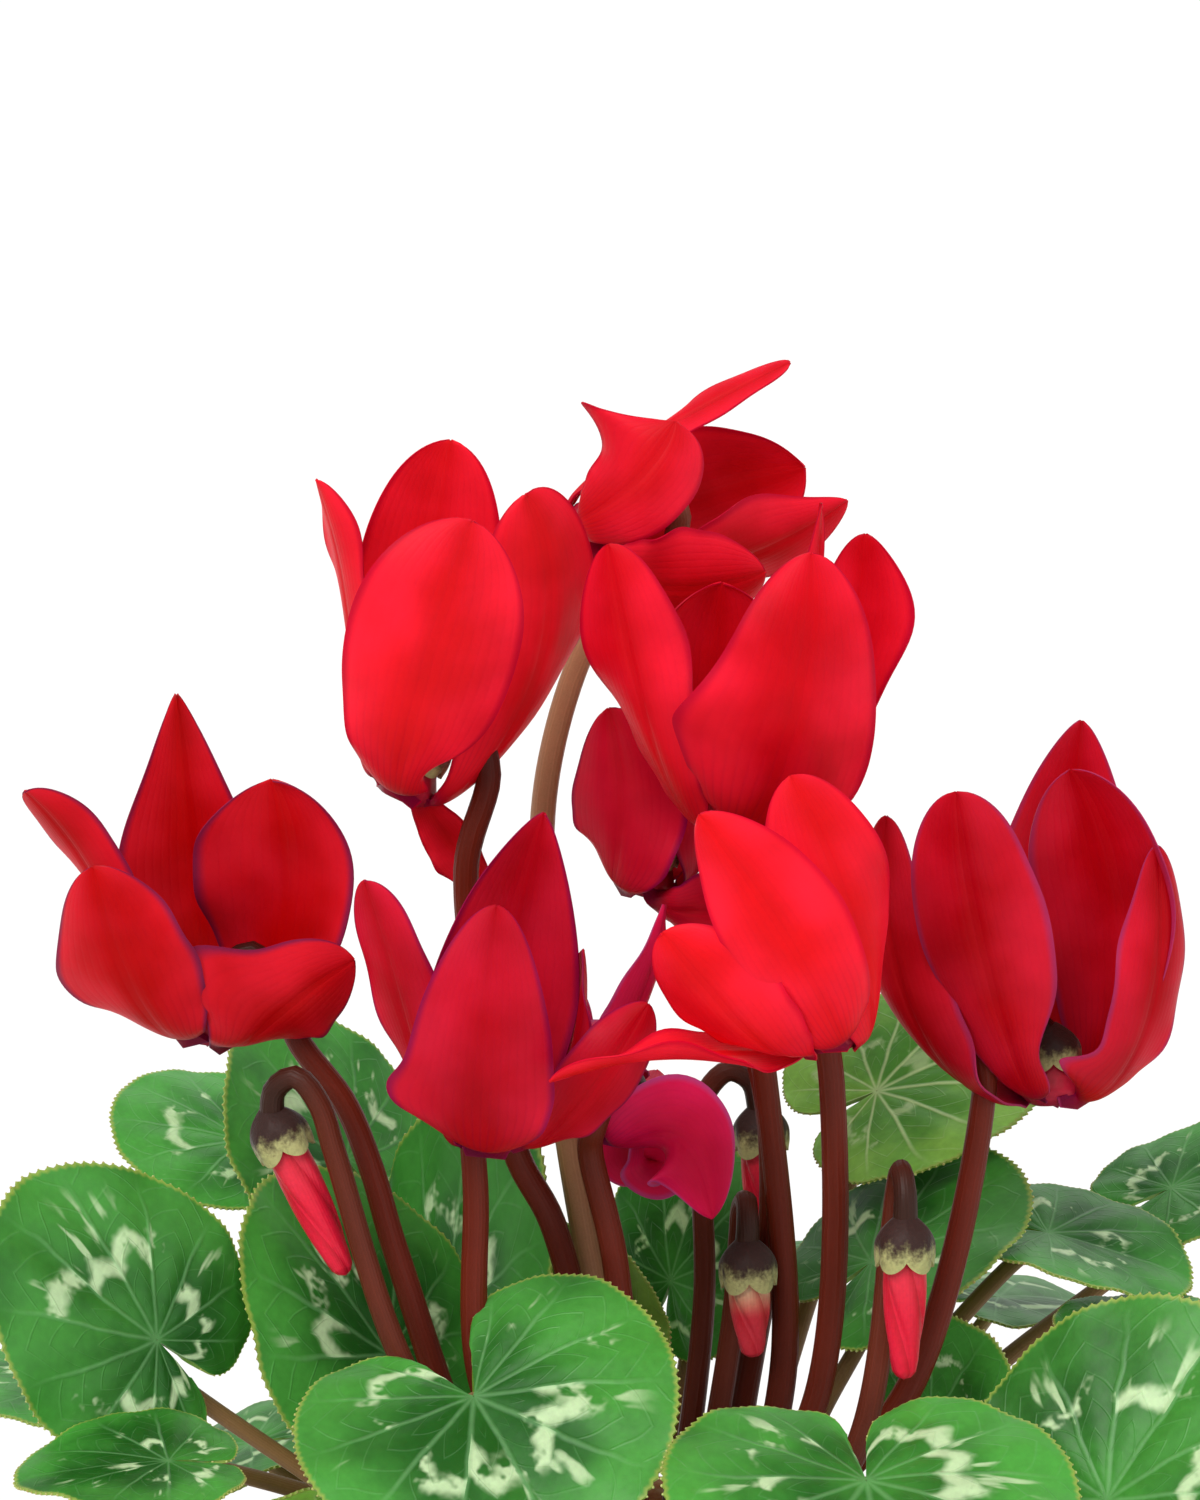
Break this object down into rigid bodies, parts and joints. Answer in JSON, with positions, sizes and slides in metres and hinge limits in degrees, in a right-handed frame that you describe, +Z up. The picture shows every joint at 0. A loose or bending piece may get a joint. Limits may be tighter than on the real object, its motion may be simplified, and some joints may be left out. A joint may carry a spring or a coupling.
{
  "type": "potted cyclamen",
  "caption": "Potted cyclamen with reflexed red blooms, nodding furled buds and marbled heart-shaped leaves, rooted in soil in a plain collared clay pot.",
  "frame": {"origin": "centre of the pot's flat foot, on the surface it stands on", "axes": "+Z up the plant, -Y towards the front that the picture shows, +X to the picture's right"},
  "size_m": [0.2325, 0.1961, 0.3178],
  "materials": {
    "clay": "matt",
    "soil": "rough",
    "tuber_bark": "rough",
    "petal": "satin",
    "bud": "satin",
    "stalk": "satin",
    "leaf": "satin"
  },
  "bodies": {
    "root": {"bloom_behind": "petal", "bloom_behind_stalk": "stalk", "bloom_front": "petal", "bloom_front_stalk": "stalk", "bloom_high": "petal", "bloom_high_stalk": "stalk", "bloom_left": "petal", "bloom_left_stalk": "stalk", "bloom_middle": "petal", "bloom_middle_stalk": "stalk", "bloom_right": "petal", "bloom_right_of_middle": "petal", "bloom_right_of_middle_stalk": "stalk", "bloom_right_stalk": "stalk", "bloom_top": "petal", "bloom_top_stalk": "stalk", "bloom_upper_left": "petal", "bloom_upper_left_stalk": "stalk", "bud_behind": "bud", "bud_behind_stalk": "stalk", "bud_left": "bud", "bud_left_stalk": "stalk", "bud_low": "bud", "bud_low_stalk": "stalk", "bud_middle": "bud", "bud_middle_stalk": "stalk", "bud_right": "bud", "bud_right_stalk": "stalk", "leaf_back_left": "leaf", "leaf_back_middle": "leaf", "leaf_back_right": "leaf", "leaf_behind_centre": "leaf", "leaf_behind_middle": "leaf", "leaf_centre": "leaf", "leaf_far_left": "leaf", "leaf_far_right": "leaf", "leaf_far_right_high": "leaf", "leaf_front": "leaf", "leaf_front_right": "leaf", "leaf_left": "leaf", "leaf_left_back": "leaf", "leaf_left_edge": "leaf", "leaf_left_far_back": "leaf", "leaf_left_front": "leaf", "leaf_left_low": "leaf", "leaf_low_front": "leaf", "leaf_low_left": "leaf", "leaf_low_right": "leaf", "leaf_right": "leaf", "leaf_right_back": "leaf", "leaf_right_front": "leaf", "leaf_right_low": "leaf", "leaf_right_middle": "leaf", "leaf_under_left": "leaf", "pot": "clay", "soil": "soil", "tuber": "tuber_bark"}
  },
  "joints": []
}
